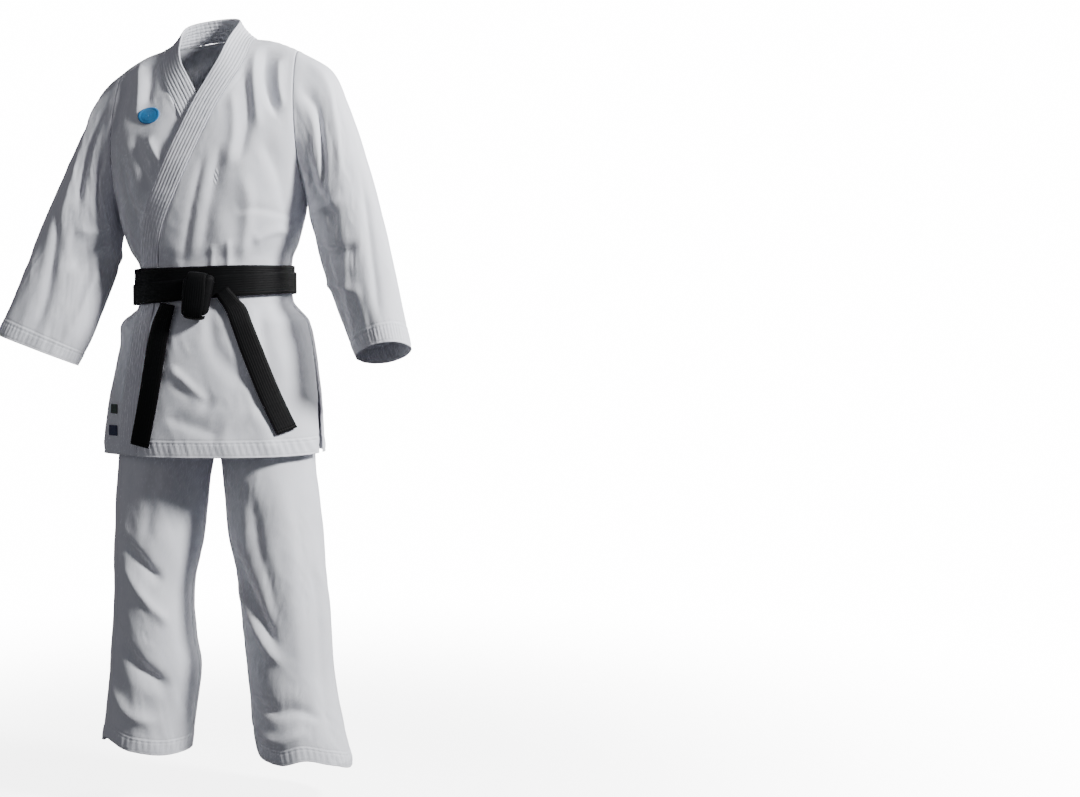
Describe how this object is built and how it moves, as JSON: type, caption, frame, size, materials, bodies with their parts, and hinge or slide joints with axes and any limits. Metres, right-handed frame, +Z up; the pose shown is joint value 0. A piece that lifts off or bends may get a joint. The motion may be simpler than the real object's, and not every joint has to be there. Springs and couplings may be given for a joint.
{
  "type": "karate uniform",
  "caption": "Karate uniform as worn: white cotton wrap jacket with stitched collar band, knotted black belt, wide straight trousers; hollow, open at neck, cuffs and hems.",
  "frame": {"origin": "middle of the shoulder line at the base of the neck, where the wearer holds the jacket up", "axes": "+Z up, +X to the wearer's left, the front faces -Y"},
  "size_m": [0.7923, 0.2976, 1.4449],
  "materials": {
    "cotton_canvas": "plain cotton canvas, matt",
    "stitched_canvas": "folded cotton canvas with rows of stitching, matt",
    "belt_cotton": "tight black cotton with rows of stitching, matt",
    "woven_label": "woven label, slight sheen"
  },
  "bodies": {
    "root": {"jacket_back": "cotton_canvas", "jacket_front_left": "cotton_canvas", "jacket_front_right": "cotton_canvas", "collar_band": "stitched_canvas", "sleeve_left": "cotton_canvas", "sleeve_right": "cotton_canvas", "trouser_leg_left": "cotton_canvas", "trouser_leg_right": "cotton_canvas", "trouser_waistband": "cotton_canvas", "belt_wrap_inner": "belt_cotton", "belt_wrap_outer": "belt_cotton", "belt_knot": "belt_cotton", "belt_tail_left": "belt_cotton", "belt_tail_right": "belt_cotton", "label_upper": "woven_label", "label_lower": "woven_label"}
  },
  "joints": []
}
